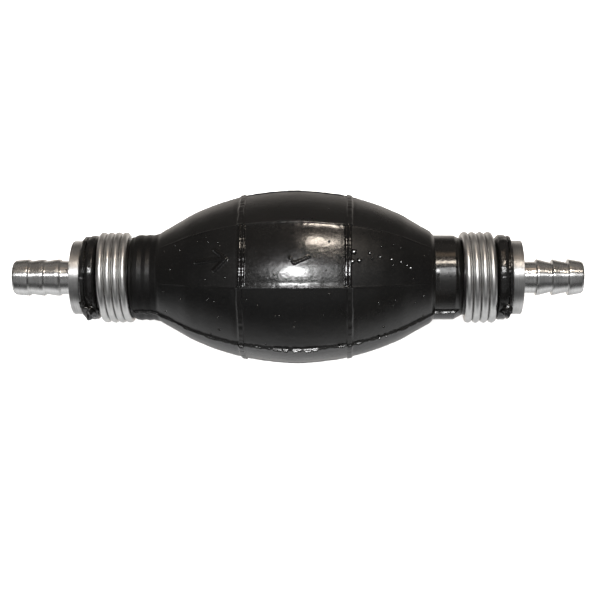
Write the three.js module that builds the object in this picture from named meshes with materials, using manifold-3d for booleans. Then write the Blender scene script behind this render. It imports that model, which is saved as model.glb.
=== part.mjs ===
// Siphon bulb pump: a squeeze bulb of rubber with a barbed hose fitting in each neck.
//
// Frame: millimetres, +Z up. X runs along the pump axis in the direction of flow, so the
// inlet is at -X and the outlet at +X. The origin is on the axis, midway between the two
// hose tips. The bulb is eight sided and rests on the panel that faces -Z.
//
// Inside each fitting sits a check-valve cartridge. Both cartridges open towards +X, so a
// squeeze drives the liquid out at +X and the recovering bulb draws it in at -X.

import * as THREE from "three";
import { mergeVertices } from "three/addons/utils/BufferGeometryUtils.js";
import Module from "manifold-3d";

// ---------------------------------------------------------------- driving dimensions (mm)

const TIP_X = 82.5; // hose tip to centre
const AROUND = 24; // sides of every turned piece: three to each panel of the bulb

// bulb
const BULB_R = 24.95; // profile radius of the belly
const BELLY_HALF = 6.0; // the belly is straight over twice this length
const PANEL_CORNER = 1.0062; // a panel's corner, over the profile radius
const PANEL_EDGE = 0.9682; // the flat of a panel, over the profile radius
const PANELS_FROM = 31.0; // |x| where the panels start to fade out
const PANELS_TO = 39.6; // |x| where the section is round
const RIB_X = 14.55; // centre of each hoop rib
const RIB_HEIGHT = 0.5;
const NECK_R = 12.55;
const NECK_BORE_R = 8.75;
const CLAMP_SEAT_R = 10.4; // rubber under the wire clamp
const CLAMP_SEAT_FROM = 46.95;
const CLAMP_SEAT_TO = 57.4;
const BEAD_R = 12.4; // end bead between clamp and flange
const NECK_END = 60.8;

// squeezed walls of the bulb
const WALL_HALF_X = 13.4;
const WALL_HALF_Z = 9.2;
const WALL_GAP = 0.3;

// fittings
const FLANGE_R = 10.6;
const FLANGE_IN = 61.1;
const FLANGE_OUT = 64.0;
const BORE_R = 3.3;
const SPIGOT_IN = 41.8;
const SPIGOT_R = 8.1;
const SPIGOT_RIDGE_R = 8.42;
const CHAMBER_R = 7.2;
const CHAMBER_FLOOR = 58.2;
const CLIP_GROOVE_R = 7.6;
const CLIP_GROOVE = [42.7, 43.9];

// wire clamps
const WIRE_R = 0.95;
const CLAMP_MEAN_R = 11.85;
const CLAMP_PITCH = 2.25;
const CLAMP_TURNS = 3.6;
const CLAMP_X = 52.2;

// check-valve cartridge, from its seat end (x = 0) to its guide end
const CARTRIDGE_LENGTH = 13.9;
const CARTRIDGE_R = 6.9;
const OUTLET_CARTRIDGE_X = 44.0;
const INLET_CARTRIDGE_X = -57.9;
const SEAT_BORE_R = 3.25;
const SEAT_FACE = 3.4;
const HOUSING_BORE_R = 5.6;
const POPPET_R = 4.5;
const STEM_R = 0.9;
const SPRING_MEAN_R = 2.6;
const SPRING_WIRE_R = 0.26;
const SPRING_TURNS = 3.5;
const SPRING_FROM = 6.3;
const SPRING_TO = 11.1;
const GUIDE_FROM = 11.4;
const GUIDE_TO = 13.2;

// ---------------------------------------------------------------- materials

const rubber = new THREE.MeshStandardMaterial({
  color: 0x141414,
  roughness: 0.32,
  metalness: 0.0,
});
const aluminium = new THREE.MeshStandardMaterial({
  color: 0xc4c5c3,
  roughness: 0.34,
  metalness: 1.0,
});
const wireSteel = new THREE.MeshStandardMaterial({
  color: 0xb4b6b4,
  roughness: 0.25,
  metalness: 1.0,
});
const springSteel = new THREE.MeshStandardMaterial({
  color: 0xbfc2c2,
  roughness: 0.22,
  metalness: 1.0,
});
const acetal = new THREE.MeshStandardMaterial({
  color: 0xe6e3d8,
  roughness: 0.5,
  metalness: 0.0,
});
const nitrile = new THREE.MeshStandardMaterial({
  color: 0x1b1b1d,
  roughness: 0.6,
  metalness: 0.0,
});

// ---------------------------------------------------------------- solids

const wasm = await Module();
wasm.setup();

const smooth = (a, b, v) => THREE.MathUtils.smoothstep(v, a, b);

// The position-only, shared-vertex form of a geometry.
function welded(geometry) {
  const g = geometry.clone();
  g.deleteAttribute("normal");
  g.deleteAttribute("uv");
  const merged = mergeVertices(g, 1e-4);
  const index = [];
  const old = merged.index.array;
  for (let i = 0; i < old.length; i += 3) {
    const [a, b, c] = [old[i], old[i + 1], old[i + 2]];
    if (a !== b && b !== c && a !== c) index.push(a, b, c);
  }
  merged.setIndex(index);
  return merged;
}

// Six times the signed volume: negative where the faces point inwards.
function signedVolume(geometry) {
  const p = geometry.attributes.position;
  const i = geometry.index.array;
  const [a, b, c] = [new THREE.Vector3(), new THREE.Vector3(), new THREE.Vector3()];
  let v = 0;
  for (let k = 0; k < i.length; k += 3) {
    a.fromBufferAttribute(p, i[k]);
    b.fromBufferAttribute(p, i[k + 1]);
    c.fromBufferAttribute(p, i[k + 2]);
    v += a.dot(b.cross(c));
  }
  return v;
}

function outward(geometry) {
  const g = welded(geometry);
  if (signedVolume(g) < 0) {
    const i = Array.from(g.index.array);
    for (let k = 0; k < i.length; k += 3) [i[k + 1], i[k + 2]] = [i[k + 2], i[k + 1]];
    g.setIndex(i);
  }
  return g;
}

function solid(geometry) {
  const g = outward(geometry);
  return new wasm.Manifold(
    new wasm.Mesh({
      numProp: 3,
      vertProperties: new Float32Array(g.attributes.position.array),
      triVerts: new Uint32Array(g.index.array),
    }),
  );
}

function geometryOf(manifold) {
  const m = manifold.getMesh();
  const g = new THREE.BufferGeometry();
  const v = new Float32Array(m.numVert * 3);
  for (let i = 0; i < m.numVert; i++)
    v.set(m.vertProperties.subarray(i * m.numProp, i * m.numProp + 3), i * 3);
  g.setAttribute("position", new THREE.BufferAttribute(v, 3));
  g.setIndex(new THREE.BufferAttribute(new Uint32Array(m.triVerts), 1));
  return g;
}

// A turned solid about X. The profile is a list of [x, radius] that closes on itself or on
// the axis; a corner of the turned polygon lies on each panel corner of the bulb.
function turned(profile, sides = AROUND) {
  const ring = profile.map(([x, r]) => new THREE.Vector2(r, x));
  if (profile[0][1] > 0) ring.push(ring[0].clone());
  const g = new THREE.LatheGeometry(ring, sides, Math.PI / sides);
  g.rotateZ(-Math.PI / 2);
  return outward(g);
}

// A plate lying across X, from x0 to x1, cut to a shape drawn in the YZ plane.
function plate(shape, x0, x1, curveSegments = 8) {
  const g = new THREE.ExtrudeGeometry(shape, {
    depth: x1 - x0,
    bevelEnabled: false,
    curveSegments,
  });
  g.rotateY(Math.PI / 2);
  g.translate(x0, 0, 0);
  return outward(g);
}

function box(x0, x1, y0, y1, z0, z1) {
  const g = new THREE.BoxGeometry(x1 - x0, y1 - y0, z1 - z0);
  g.translate((x0 + x1) / 2, (y0 + y1) / 2, (z0 + z1) / 2);
  return solid(g);
}

// A right-handed helix about X.
class Helix extends THREE.Curve {
  constructor(x0, x1, radius, turns, start) {
    super();
    Object.assign(this, { x0, x1, radius, turns, start });
  }
  getPoint(t, target = new THREE.Vector3()) {
    const a = this.start + 2 * Math.PI * this.turns * t;
    return target.set(
      THREE.MathUtils.lerp(this.x0, this.x1, t),
      this.radius * Math.cos(a),
      this.radius * Math.sin(a),
    );
  }
}

function wound(x0, x1, radius, turns, start, wire, sides, perTurn) {
  const section = new THREE.Shape();
  for (let i = 0; i < sides; i++) {
    const a = (2 * Math.PI * (i + 0.5)) / sides;
    const [u, v] = [wire * Math.cos(a), wire * Math.sin(a)];
    i ? section.lineTo(u, v) : section.moveTo(u, v);
  }
  section.closePath();
  const g = new THREE.ExtrudeGeometry(section, {
    steps: Math.round(turns * perTurn),
    bevelEnabled: false,
    extrudePath: new Helix(x0, x1, radius, turns, start),
  });
  return outward(g);
}

const mirrored = (profile) => profile.map(([x, r]) => [-x, r]).reverse();
const shifted = (profile, dx) => profile.map(([x, r]) => [x + dx, r]);

// ---------------------------------------------------------------- bulb

// Outside of one half of the bulb, from the belly to the end of the neck.
const bulbOutside = [
  [BELLY_HALF, BULB_R],
  [10.5, 24.15],
  [RIB_X - 0.65, 23.62],
  [RIB_X - 0.3, 23.55 + RIB_HEIGHT],
  [RIB_X + 0.3, 23.35 + RIB_HEIGHT],
  [RIB_X + 0.65, 23.25],
  [19.5, 22.1],
  [24.2, 20.5],
  [28.6, 18.6],
  [32.2, 16.65],
  [35.7, 14.6],
  [38.2, 13.15],
  [39.9, NECK_R],
  [45.7, NECK_R],
  [46.1, 12.0],
  [CLAMP_SEAT_FROM, 12.0],
  [CLAMP_SEAT_FROM, CLAMP_SEAT_R],
  [CLAMP_SEAT_TO, CLAMP_SEAT_R],
  [CLAMP_SEAT_TO, 11.7],
  [58.5, 12.25],
  [59.6, BEAD_R],
  [NECK_END, 12.1],
];

// Inside of the same half: the chamber and the bore of the neck.
const bulbInside = [
  [BELLY_HALF, 21.65],
  [14.5, 20.1],
  [21.5, 17.9],
  [28.6, 14.9],
  [34.5, 11.4],
  [38.0, 9.4],
  [40.4, NECK_BORE_R],
  [NECK_END, NECK_BORE_R],
];

// The eight panels: a vertex on a panel's corner moves out, one on its flat moves in.
function panelled(geometry) {
  const p = geometry.attributes.position;
  for (let i = 0; i < p.count; i++) {
    const [x, y, z] = [p.getX(i), p.getY(i), p.getZ(i)];
    const k = 1 - smooth(PANELS_FROM, PANELS_TO, Math.abs(x));
    const turn = THREE.MathUtils.radToDeg(Math.atan2(z, y));
    const corner = Math.abs(((((turn - 22.5) % 45) + 45 + 22.5) % 45) - 22.5) < 3;
    const s = THREE.MathUtils.lerp(1, corner ? PANEL_CORNER : PANEL_EDGE, k);
    p.setXYZ(i, x, y * s, z * s);
  }
  return geometry;
}

const bulbShell = solid(
  panelled(
    turned([
      ...mirrored(bulbOutside),
      ...bulbOutside,
      ...[...bulbInside].reverse(),
      ...mirrored([...bulbInside].reverse()),
    ]),
  ),
);

// The two walls that the hand presses in: the belly panels that face -Y and +Y. Each one is
// parted from the bulb along Y so that it can travel inwards through its own window.
const w = WALL_HALF_X;
const h = WALL_HALF_Z;
const g = WALL_GAP;
const wallFront = bulbShell.intersect(box(-w, w, -30, -12, -h, h));
const wallRear = bulbShell.intersect(box(-w, w, 12, 30, -h, h));
const bulbBody = bulbShell
  .subtract(box(-w - g, w + g, -30, -12, -h - g, h + g))
  .subtract(box(-w - g, w + g, 12, 30, -h - g, h + g));

// ---------------------------------------------------------------- hose fittings

// Barbs, from the flange out to the tip, as [x, radius].
const outletBarbs = [
  [68.1, 4.37],
  [68.35, 5.08],
  [69.1, 5.0],
  [72.6, 4.15],
  [72.95, 4.95],
  [73.7, 4.88],
  [77.0, 4.22],
  [77.4, 5.05],
  [78.2, 4.98],
  [81.6, 4.35],
  [TIP_X, 3.95],
];
const inletBarbs = [
  [67.4, 4.75],
  [68.2, 5.18],
  [69.2, 5.14],
  [72.0, 4.77],
  [72.8, 5.18],
  [73.8, 5.14],
  [76.4, 4.77],
  [77.2, 5.16],
  [78.2, 5.1],
  [81.8, 4.6],
  [TIP_X, 4.2],
];

function fitting(barbs, rootR) {
  return [
    [SPIGOT_IN, CHAMBER_R],
    [CLIP_GROOVE[0], CHAMBER_R],
    [CLIP_GROOVE[0], CLIP_GROOVE_R],
    [CLIP_GROOVE[1], CLIP_GROOVE_R],
    [CLIP_GROOVE[1], CHAMBER_R],
    [CHAMBER_FLOOR, CHAMBER_R],
    [CHAMBER_FLOOR, BORE_R],
    [TIP_X, BORE_R],
    ...[...barbs].reverse(),
    [FLANGE_OUT, rootR],
    [FLANGE_OUT, FLANGE_R - 0.25],
    [FLANGE_OUT - 0.25, FLANGE_R],
    [FLANGE_IN + 0.25, FLANGE_R],
    [FLANGE_IN, FLANGE_R - 0.25],
    [FLANGE_IN, SPIGOT_R],
    [55.6, SPIGOT_R],
    [55.4, SPIGOT_RIDGE_R],
    [52.8, SPIGOT_R],
    [49.6, SPIGOT_R],
    [49.4, SPIGOT_RIDGE_R],
    [46.8, SPIGOT_R],
    [SPIGOT_IN + 0.5, SPIGOT_R],
    [SPIGOT_IN, SPIGOT_R - 0.3],
  ];
}

const outletFitting = turned(fitting(outletBarbs, 4.37));
const inletFitting = turned(mirrored(fitting(inletBarbs, 4.75)));

// ---------------------------------------------------------------- wire clamps

// Each clamp is one wire wound around the neck, with both ends on the side away from +Z -Y.
function clamp(x) {
  const half = (CLAMP_TURNS * CLAMP_PITCH) / 2;
  const middle = THREE.MathUtils.degToRad(106.1 + 180); // half way along the wire
  return wound(
    x - half,
    x + half,
    CLAMP_MEAN_R,
    CLAMP_TURNS,
    middle - Math.PI * CLAMP_TURNS,
    WIRE_R,
    8,
    18,
  );
}

// ---------------------------------------------------------------- check-valve cartridge

const housing = [
  [0, SEAT_BORE_R],
  [0, CARTRIDGE_R],
  [0.8, CARTRIDGE_R],
  [0.8, 5.2],
  [2.8, 5.2],
  [2.8, CARTRIDGE_R],
  [CARTRIDGE_LENGTH, CARTRIDGE_R],
  [CARTRIDGE_LENGTH, 5.0],
  [CARTRIDGE_LENGTH - 0.4, 5.0],
  [CARTRIDGE_LENGTH - 0.4, HOUSING_BORE_R],
  [SEAT_FACE, HOUSING_BORE_R],
  [SEAT_FACE, SEAT_BORE_R],
];

const oRing = [];
for (let i = 0; i < 8; i++) {
  const a = (2 * Math.PI * (i + 0.5)) / 8;
  oRing.push([1.8 + 0.7 * Math.cos(a), 6.2 + 0.7 * Math.sin(a)]);
}

const poppet = [
  [3.75, 0],
  [3.75, 1.6],
  [4.8, 1.6],
  [4.8, POPPET_R - 0.2],
  [5.0, POPPET_R],
  [5.8, POPPET_R],
  [6.0, POPPET_R - 0.2],
  [6.0, STEM_R],
  [12.7, STEM_R],
  [12.9, STEM_R - 0.2],
  [12.9, 0],
];

const poppetSeal = [
  [3.7, 1.9],
  [3.7, 4.3],
  [4.5, 4.4],
  [4.5, 1.9],
];

function guideShape() {
  const s = new THREE.Shape().absarc(0, 0, 5.3, 0, 2 * Math.PI, false);
  s.holes.push(new THREE.Path().absarc(0, 0, 1.2, 0, 2 * Math.PI, true));
  for (let i = 0; i < 3; i++) {
    const [a, b] = [i * 120 + 14, i * 120 + 106].map(THREE.MathUtils.degToRad);
    const hole = new THREE.Path();
    hole.absarc(0, 0, 4.4, a, b, false);
    hole.absarc(0, 0, 2.3, b, a, true);
    hole.closePath();
    s.holes.push(hole);
  }
  return s;
}

function clipShape() {
  const [a, b] = [-72, 252].map(THREE.MathUtils.degToRad);
  const s = new THREE.Shape();
  s.absarc(0, 0, 7.4, a, b, false);
  s.absarc(0, 0, 5.9, b, a, true);
  s.closePath();
  return s;
}

// ---------------------------------------------------------------- assembly

const pump = new THREE.Group();

function add(name, geometry, material, parent = pump) {
  const mesh = new THREE.Mesh(geometry, material);
  mesh.name = name;
  parent.add(mesh);
  return mesh;
}

add("bulb_body", geometryOf(bulbBody), rubber);
add("bulb_wall_front", geometryOf(wallFront), rubber);
add("bulb_wall_rear", geometryOf(wallRear), rubber);

add("inlet_fitting", inletFitting, aluminium);
add("outlet_fitting", outletFitting, aluminium);
add("inlet_clamp_coil", clamp(-CLAMP_X), wireSteel);
add("outlet_clamp_coil", clamp(CLAMP_X), wireSteel);

for (const [end, x, clipX] of [
  ["inlet", INLET_CARTRIDGE_X, -43.6],
  ["outlet", OUTLET_CARTRIDGE_X, 43.0],
]) {
  const cartridge = new THREE.Group();
  cartridge.position.x = x;
  pump.add(cartridge);
  add(end + "_valve_housing", turned(housing), acetal, cartridge);
  add(end + "_valve_housing_o_ring", turned(oRing), nitrile, cartridge);
  add(end + "_valve_poppet", turned(poppet, 16), acetal, cartridge);
  add(end + "_poppet_seal", turned(poppetSeal), nitrile, cartridge);
  add(
    end + "_valve_spring",
    wound(
      SPRING_FROM + SPRING_WIRE_R,
      SPRING_TO - SPRING_WIRE_R,
      SPRING_MEAN_R,
      SPRING_TURNS,
      0,
      SPRING_WIRE_R,
      6,
      12,
    ),
    springSteel,
    cartridge,
  );
  add(
    end + "_valve_guide",
    plate(guideShape(), GUIDE_FROM, GUIDE_TO, 6),
    acetal,
    cartridge,
  );
  add(end + "_retaining_ring", plate(clipShape(), clipX, clipX + 0.6, 14), springSteel);
}

export default pump;
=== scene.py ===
# Siphon bulb pump: the looks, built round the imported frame. Metres, +Z up, flow towards +X.
import math
import bpy
import numpy as np
from mathutils import Matrix, Vector, noise


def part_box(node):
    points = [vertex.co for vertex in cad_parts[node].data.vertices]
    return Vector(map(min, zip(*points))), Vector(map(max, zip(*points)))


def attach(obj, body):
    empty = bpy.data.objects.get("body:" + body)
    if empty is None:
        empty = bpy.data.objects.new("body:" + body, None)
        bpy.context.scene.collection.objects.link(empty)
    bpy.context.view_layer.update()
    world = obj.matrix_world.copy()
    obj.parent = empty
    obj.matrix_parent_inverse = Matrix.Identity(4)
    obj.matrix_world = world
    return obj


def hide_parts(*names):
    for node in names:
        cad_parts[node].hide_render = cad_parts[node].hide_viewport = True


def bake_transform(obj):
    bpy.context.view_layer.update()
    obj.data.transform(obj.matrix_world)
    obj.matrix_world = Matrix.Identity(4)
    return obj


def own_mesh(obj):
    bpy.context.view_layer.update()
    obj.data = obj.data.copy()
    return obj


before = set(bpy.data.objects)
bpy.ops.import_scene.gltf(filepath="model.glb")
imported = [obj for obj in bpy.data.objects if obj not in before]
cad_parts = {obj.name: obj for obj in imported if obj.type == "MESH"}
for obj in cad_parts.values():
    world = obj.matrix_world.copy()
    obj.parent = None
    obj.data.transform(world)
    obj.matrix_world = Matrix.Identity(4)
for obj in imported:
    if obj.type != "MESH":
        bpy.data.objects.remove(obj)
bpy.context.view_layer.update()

MM = 0.001

# ------------------------------------------------------------------ small tools


def smoothstep(a, b, v):
    t = np.clip((np.asarray(v, float) - a) / (b - a), 0.0, 1.0)
    return t * t * (3 - 2 * t)


def pchip(xs, ys):
    """A monotone cubic through the given points."""
    xs, ys = np.asarray(xs, float), np.asarray(ys, float)
    h = np.diff(xs)
    d = np.diff(ys) / h
    m = np.zeros_like(xs)
    for i in range(1, len(xs) - 1):
        if d[i - 1] * d[i] > 0:
            w1, w2 = 2 * h[i] + h[i - 1], h[i] + 2 * h[i - 1]
            m[i] = (w1 + w2) / (w1 / d[i - 1] + w2 / d[i])
    m[0], m[-1] = d[0] if ys[1] != ys[0] and False else 0.0, d[-1]

    def f(x):
        x = np.clip(np.asarray(x, float), xs[0], xs[-1])
        i = np.clip(np.searchsorted(xs, x, side="right") - 1, 0, len(h) - 1)
        t = (x - xs[i]) / h[i]
        return (
            (1 + 2 * t) * (1 - t) ** 2 * ys[i]
            + t * (1 - t) ** 2 * h[i] * m[i]
            + t * t * (3 - 2 * t) * ys[i + 1]
            + t * t * (t - 1) * h[i] * m[i + 1]
        )

    return f


def noise1(seed, period):
    """Smooth value noise of one variable, -1 to 1, with a feature every period."""
    table = np.random.RandomState(seed).uniform(-1, 1, 4096)

    def f(x):
        t = np.asarray(x, float) / period + 1024.37
        i = np.floor(t).astype(int)
        u = t - i
        u = u * u * (3 - 2 * u)
        return table[i % 4096] * (1 - u) + table[(i + 1) % 4096] * u

    return f


def noise2(seed, pa, pb):
    table = np.random.RandomState(seed).uniform(-1, 1, (256, 256))

    def f(a, b):
        ta, tb = np.asarray(a, float) / pa + 100.31, np.asarray(b, float) / pb + 60.77
        i, j = np.floor(ta).astype(int), np.floor(tb).astype(int)
        u, v = ta - i, tb - j
        u, v = u * u * (3 - 2 * u), v * v * (3 - 2 * v)
        g = lambda di, dj: table[(i + di) % 256, (j + dj) % 256]
        return (g(0, 0) * (1 - u) + g(1, 0) * u) * (1 - v) + (
            g(0, 1) * (1 - u) + g(1, 1) * u
        ) * v

    return f


def fillet(points, closed=True, steps=4):
    """points are (x, r, radius): each corner is rounded to its radius."""
    n, out = len(points), []
    for i, (x, r, rad) in enumerate(points):
        p = np.array([x, r], float)
        if rad <= 0 or (not closed and i in (0, n - 1)):
            out.append(p)
            continue
        a = np.array(points[i - 1][:2], float) - p
        b = np.array(points[(i + 1) % n][:2], float) - p
        la, lb = np.linalg.norm(a), np.linalg.norm(b)
        u, v = a / la, b / lb
        c = float(np.clip(u @ v, -1, 1))
        half = math.acos(c) / 2
        if half > 1.54:
            out.append(p)
            continue
        t = min(rad / math.tan(half), 0.46 * la, 0.46 * lb)
        rr = t * math.tan(half)
        mid = (u + v) / np.linalg.norm(u + v)
        centre = p + mid * rr / math.sin(half)
        s, e = p + u * t - centre, p + v * t - centre
        turn = math.acos(float(np.clip(s @ e / (np.linalg.norm(s) * np.linalg.norm(e)), -1, 1)))
        k = max(1, steps)
        for j in range(k + 1):
            w = j / k
            q = (math.sin((1 - w) * turn) * s + math.sin(w * turn) * e) / math.sin(turn)
            out.append(centre + q)
    return np.array(out)


def new_mesh(name, verts, faces, material, smooth=True, sharp=None):
    me = bpy.data.meshes.new(name)
    me.from_pydata([tuple(v) for v in np.asarray(verts, float)], [], faces)
    me.validate()
    me.update()
    me.materials.append(material)
    me.polygons.foreach_set("use_smooth", [smooth] * len(me.polygons))
    if sharp is not None:
        me.set_sharp_from_angle(angle=math.radians(sharp))
    ob = bpy.data.objects.new(name, me)
    bpy.context.scene.collection.objects.link(ob)
    return ob


def facing_out(verts, faces):
    """The faces, turned round if the closed mesh that they make is inside out."""
    v = np.asarray(verts, float)
    total = 0.0
    for f in faces:
        a = v[f[0]]
        for i in range(1, len(f) - 1):
            total += a @ np.cross(v[f[i]], v[f[i + 1]])
    return faces if total > 0 else [tuple(reversed(f)) for f in faces]


def lathe(name, profile, material, segs=128, sharp=38, turn=None):
    """A turned solid about X. profile is [[x, r]] in mm, closed on itself; a point at r = 0 is a pole."""
    prof = [(float(x), float(r)) for x, r in profile]
    ang = np.linspace(0, 2 * math.pi, segs, endpoint=False)
    verts, rings = [], []
    for i, (x, r) in enumerate(prof):
        if r < 1e-9:
            rings.append([len(verts)])
            verts.append((x * MM, 0, 0))
        else:
            start = len(verts)
            rr = np.full(segs, r)
            if turn is not None:
                rr = rr + turn(np.full(segs, x), ang, r)
            verts += [(x * MM, -c * q * MM, s * q * MM) for c, s, q in zip(np.cos(ang), np.sin(ang), rr)]
            rings.append(list(range(start, start + segs)))
    faces = []
    n = len(rings)
    for i in range(n):
        a, b = rings[i], rings[(i + 1) % n]
        if len(a) == 1 and len(b) == 1:
            continue
        for j in range(segs):
            k = (j + 1) % segs
            if len(a) == 1:
                faces.append((a[0], b[k], b[j]))
            elif len(b) == 1:
                faces.append((a[j], a[k], b[0]))
            else:
                faces.append((a[j], a[k], b[k], b[j]))
    return new_mesh(name, verts, facing_out(verts, faces), material, sharp=sharp)


def wound(name, x0, x1, radius, turns, start, wire, material, per_turn=96, sides=24, radial=None, axial=None):
    """A closed round wire wound right-handed about X, its ends cut square with a broken edge."""
    n = int(turns * per_turn)
    t = np.linspace(0, 1, n + 1)
    a = start + 2 * math.pi * turns * t
    x = x0 + (x1 - x0) * t
    rad = np.full_like(t, radius)
    if radial is not None:
        rad = rad + radial(a)
    if axial is not None:
        x = x + axial(a)
    c = np.stack([x, rad * np.cos(a), rad * np.sin(a)], 1)
    tan = np.gradient(c, axis=0)
    tan /= np.linalg.norm(tan, axis=1)[:, None]
    out = np.stack([np.zeros_like(a), np.cos(a), np.sin(a)], 1)
    out -= tan * np.sum(out * tan, axis=1)[:, None]
    out /= np.linalg.norm(out, axis=1)[:, None]
    side = np.cross(tan, out)
    # the broken edge at each end
    def end(i, sign):
        return [(c[i] + sign * tan[i] * wire * d, wire * s, i) for d, s in ((0.12, 0.97), (0.22, 0.86))]
    rings = [(p, s, i) for p, s, i in reversed(end(0, -1))]
    rings += [(c[i], wire, i) for i in range(n + 1)]
    rings += end(n, 1)
    verts = []
    phi = np.linspace(0, 2 * math.pi, sides, endpoint=False)
    for p, w, i in rings:
        for f in phi:
            verts.append((p + w * (math.cos(f) * out[i] + math.sin(f) * side[i])) * MM)
    faces = []
    m = len(rings)
    for i in range(m - 1):
        for j in range(sides):
            k = (j + 1) % sides
            faces.append((i * sides + j, i * sides + k, (i + 1) * sides + k, (i + 1) * sides + j))
    faces.append(tuple(reversed(range(sides))))
    faces.append(tuple((m - 1) * sides + j for j in range(sides)))
    return new_mesh(name, verts, facing_out(verts, faces), material, sharp=50)


def polar_plate(name, radii, segs, keep, x0, x1, material, bevel=0.1):
    """A flat plate across X, cut out of rings and sectors: keep(ring, angle) says which cells are solid."""
    ang = np.linspace(0, 2 * math.pi, segs, endpoint=False)
    cell = lambda i, j: 0 <= i < len(radii) - 1 and keep(i, (ang[j % segs] + math.pi / segs))
    index, verts, faces = {}, [], []

    def v(i, j, side):
        key = (i, j % segs, side)
        if key not in index:
            index[key] = len(verts)
            r, a = radii[i], ang[j % segs]
            verts.append(((x1 if side else x0) * MM, r * math.cos(a) * MM, r * math.sin(a) * MM))
        return index[key]

    for i in range(len(radii) - 1):
        for j in range(segs):
            if not cell(i, j):
                continue
            faces.append((v(i, j, 1), v(i + 1, j, 1), v(i + 1, j + 1, 1), v(i, j + 1, 1)))
            faces.append((v(i, j, 0), v(i, j + 1, 0), v(i + 1, j + 1, 0), v(i + 1, j, 0)))
            if not cell(i - 1, j):
                faces.append((v(i, j, 0), v(i, j, 1), v(i, j + 1, 1), v(i, j + 1, 0)))
            if not cell(i + 1, j):
                faces.append((v(i + 1, j, 0), v(i + 1, j + 1, 0), v(i + 1, j + 1, 1), v(i + 1, j, 1)))
            if not cell(i, j - 1):
                faces.append((v(i, j, 0), v(i + 1, j, 0), v(i + 1, j, 1), v(i, j, 1)))
            if not cell(i, j + 1):
                faces.append((v(i, j + 1, 0), v(i, j + 1, 1), v(i + 1, j + 1, 1), v(i + 1, j + 1, 0)))
    ob = new_mesh(name, verts, facing_out(verts, faces), material, sharp=30)
    b = ob.modifiers.new("broken_edges", "BEVEL")
    b.width, b.segments, b.limit_method, b.angle_limit = bevel * MM, 2, "ANGLE", math.radians(40)
    return ob


# ------------------------------------------------------------------ materials


class Nodes:
    def __init__(self, name):
        self.mat = bpy.data.materials.new(name)
        self.mat.use_nodes = True
        self.t = self.mat.node_tree
        self.b = self.t.nodes["Principled BSDF"]
        self.coord = self.t.nodes.new("ShaderNodeTexCoord").outputs["Object"]

    def add(self, kind, **props):
        n = self.t.nodes.new(kind)
        for k, v in props.items():
            setattr(n, k, v)
        return n

    def link(self, a, b):
        self.t.links.new(a, b)

    def noise(self, scale, detail=3.0, rough=0.5, stretch=None, distortion=0.0):
        n = self.add("ShaderNodeTexNoise")
        n.inputs["Scale"].default_value = scale
        n.inputs["Detail"].default_value = detail
        n.inputs["Roughness"].default_value = rough
        n.inputs["Distortion"].default_value = distortion
        src = self.coord
        if stretch is not None:
            m = self.add("ShaderNodeMapping")
            m.inputs["Scale"].default_value = stretch
            self.link(self.coord, m.inputs["Vector"])
            src = m.outputs["Vector"]
        self.link(src, n.inputs["Vector"])
        return n.outputs["Fac"]

    def remap(self, value, a, b, c, d, kind="LINEAR"):
        n = self.add("ShaderNodeMapRange", interpolation_type=kind)
        for k, v in (("From Min", a), ("From Max", b), ("To Min", c), ("To Max", d)):
            n.inputs[k].default_value = v
        self.link(value, n.inputs["Value"])
        return n.outputs["Result"]

    def math(self, op, a, b=None):
        n = self.add("ShaderNodeMath", operation=op)
        for i, v in enumerate((a, b)):
            if v is None:
                continue
            if isinstance(v, (int, float)):
                n.inputs[i].default_value = v
            else:
                self.link(v, n.inputs[i])
        return n.outputs[0]

    def ramp(self, value, stops):
        n = self.add("ShaderNodeValToRGB")
        e = n.color_ramp.elements
        while len(e) > 1:
            e.remove(e[-1])
        e[0].position, e[0].color = stops[0][0], (*stops[0][1], 1)
        for p, c in stops[1:]:
            x = e.new(p)
            x.color = (*c, 1)
        self.link(value, n.inputs["Fac"])
        return n.outputs["Color"]

    def bump(self, height, distance, strength=1.0, under=None):
        n = self.add("ShaderNodeBump")
        n.inputs["Strength"].default_value = strength
        n.inputs["Distance"].default_value = distance
        self.link(height, n.inputs["Height"])
        if under is not None:
            self.link(under, n.inputs["Normal"])
        return n.outputs["Normal"]

    def voronoi(self, scale, feature="F1", output="Distance"):
        n = self.add("ShaderNodeTexVoronoi", feature=feature)
        n.inputs["Scale"].default_value = scale
        self.link(self.coord, n.inputs["Vector"])
        return n.outputs[output]

    def attribute(self, name):
        return self.add("ShaderNodeAttribute", attribute_type="GEOMETRY", attribute_name=name).outputs["Fac"]

    def blend(self, fac, a, b):
        """a where fac is 0, b where it is 1."""
        return self.math("ADD", a, self.math("MULTIPLY", fac, self.math("SUBTRACT", b, a)))

    def set(self, **values):
        for k, v in values.items():
            s = self.b.inputs[k.replace("_", " ")]
            if hasattr(v, "is_linked") or isinstance(v, bpy.types.NodeSocket):
                self.link(v, s)
            else:
                s.default_value = v
        return self.mat


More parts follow.
